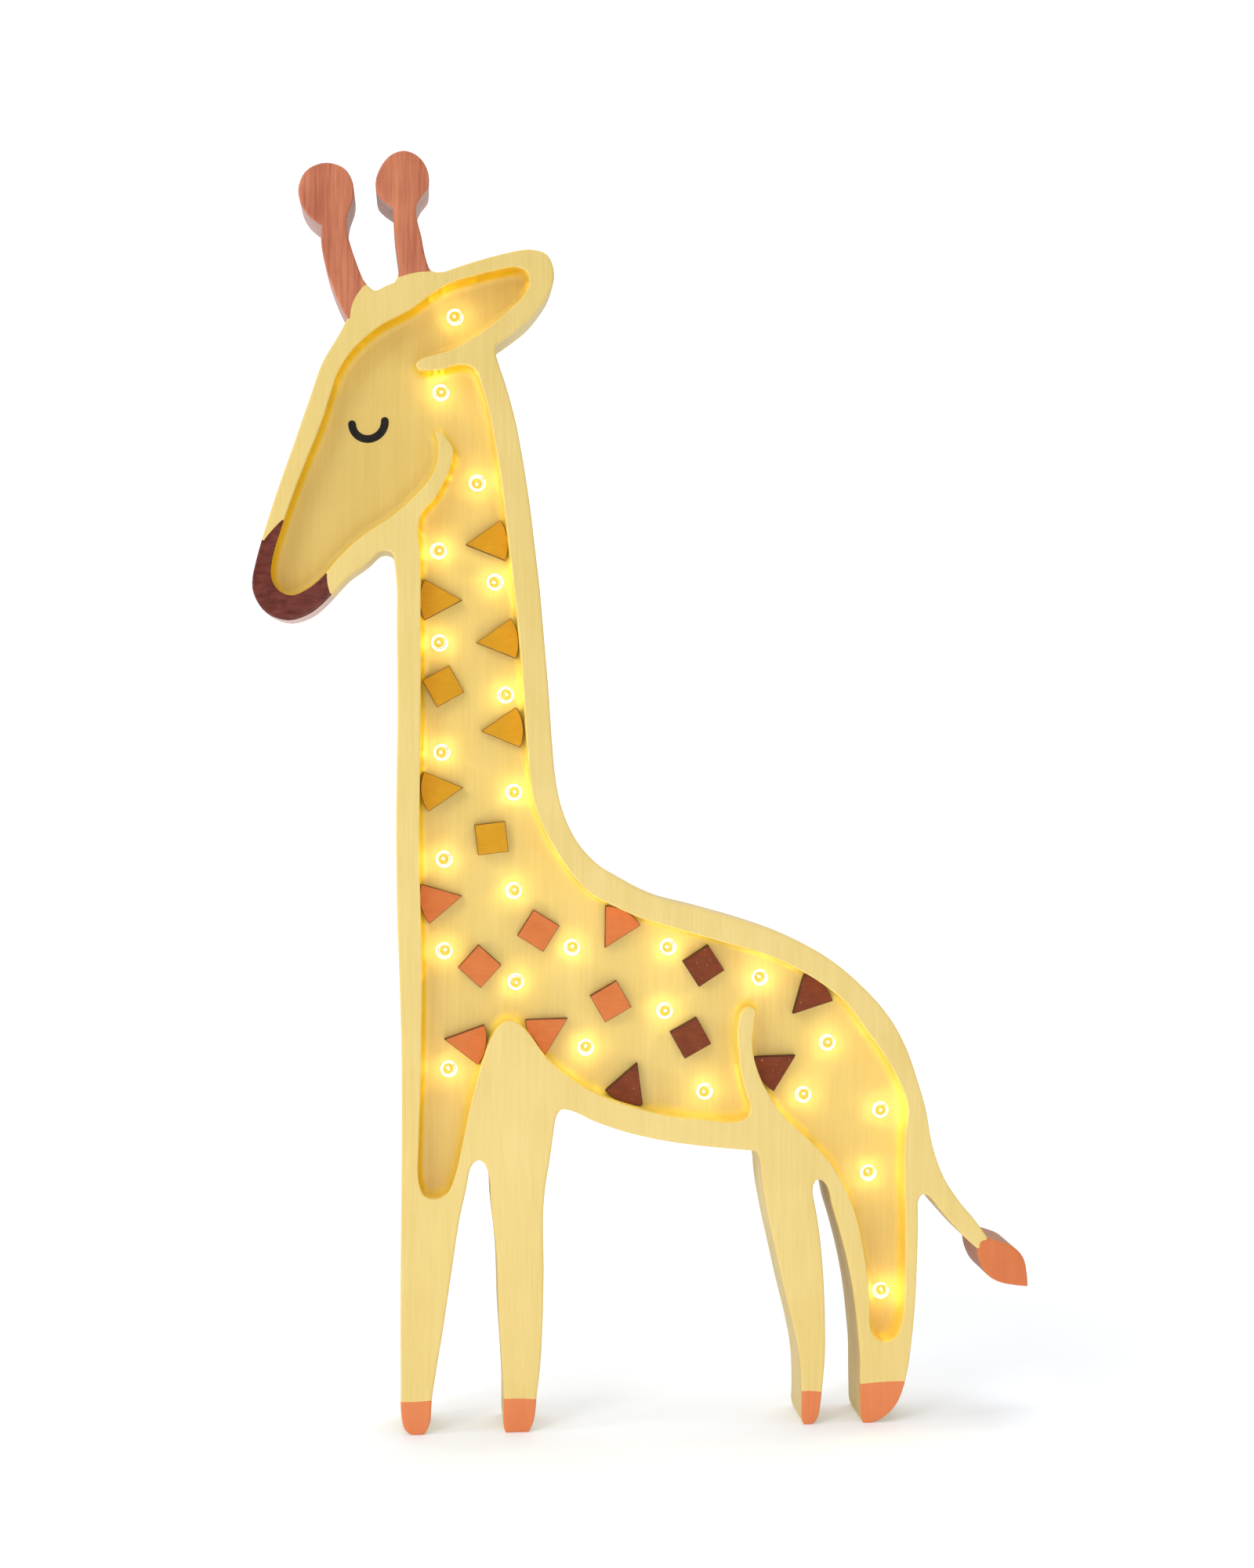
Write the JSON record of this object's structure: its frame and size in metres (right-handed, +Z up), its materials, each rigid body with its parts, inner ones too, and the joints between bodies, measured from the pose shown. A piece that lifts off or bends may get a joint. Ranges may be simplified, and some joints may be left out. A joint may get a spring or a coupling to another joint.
{
  "type": "giraffe night light",
  "caption": "Giraffe-shaped wooden night light: a standing painted board with a lit recess, glued spots and small LED lamps, a back cover, a rocker switch and a power socket.",
  "frame": {"origin": "on the ground under the middle of the board, half way along its width and through its thickness", "axes": "+X from the nose to the tail, +Y from the front face to the back face, +Z up from the hooves"},
  "size_m": [0.332, 0.028, 0.54],
  "materials": {
    "painted_pine": "satin yellow wood paint over pine; orange-brown hooves, horns and tail tuft, glossy brown nose",
    "plywood": "bare birch plywood",
    "zinc_steel": "zinc plated",
    "ochre_ply": "stained plywood with laser-burnt edges",
    "coral_ply": "stained plywood with laser-burnt edges",
    "brown_ply": "dark brown stained plywood with laser-burnt edges",
    "lamp_lens": "clear epoxy dome, lit warm white",
    "tinned_wire": "tinned",
    "solder": "dull solder",
    "red_insulation": "matt",
    "black_insulation": "matt",
    "resistor_body": "lacquered",
    "black_plastic": "fine matt",
    "rocker_plastic": "satin",
    "contact_brass": "bright",
    "nickel_pin": "nickel",
    "nut_steel": "nickel plated"
  },
  "bodies": {
    "lamp": {"board": "painted_pine", "back_cover": "plywood", "cover_screws": "zinc_steel", "spot_ochre_slice_1": "ochre_ply", "spot_ochre_slice_2": "ochre_ply", "spot_ochre_slice_3": "ochre_ply", "spot_ochre_square_1": "ochre_ply", "spot_ochre_slice_4": "ochre_ply", "spot_ochre_slice_5": "ochre_ply", "spot_ochre_square_2": "ochre_ply", "spot_coral_slice_1": "coral_ply", "spot_coral_square_1": "coral_ply", "spot_coral_square_2": "coral_ply", "spot_coral_slice_2": "coral_ply", "spot_coral_square_3": "coral_ply", "spot_coral_slice_3": "coral_ply", "spot_coral_slice_4": "coral_ply", "spot_brown_square_1": "brown_ply", "spot_brown_square_2": "brown_ply", "spot_brown_slice_1": "brown_ply", "spot_brown_slice_2": "brown_ply", "spot_brown_slice_3": "brown_ply", "led_01": "lamp_lens", "led_02": "lamp_lens", "led_03": "lamp_lens", "led_04": "lamp_lens", "led_05": "lamp_lens", "led_06": "lamp_lens", "led_07": "lamp_lens", "led_08": "lamp_lens", "led_09": "lamp_lens", "led_10": "lamp_lens", "led_11": "lamp_lens", "led_12": "lamp_lens", "led_13": "lamp_lens", "led_14": "lamp_lens", "led_15": "lamp_lens", "led_16": "lamp_lens", "led_17": "lamp_lens", "led_18": "lamp_lens", "led_19": "lamp_lens", "led_20": "lamp_lens", "led_21": "lamp_lens", "led_22": "lamp_lens", "led_23": "lamp_lens", "led_24": "lamp_lens", "led_25": "lamp_lens", "led_leads": "tinned_wire", "solder_joints": "solder", "wire_red": "red_insulation", "wire_black": "black_insulation", "resistor": "resistor_body", "switch_housing": "black_plastic", "switch_blades": "contact_brass", "socket_housing": "black_plastic", "socket_pin": "nickel_pin", "socket_nut": "nut_steel", "socket_tags": "contact_brass"},
    "rocker": {"switch_rocker": "rocker_plastic"}
  },
  "joints": [
    {"name": "switch_rock", "type": "hinge", "parent": "lamp", "child": "rocker", "pos_m": [-0.057, 0.0106, 0.144], "axis": [-1, 0, 0], "range_deg": [0, 24]}
  ]
}
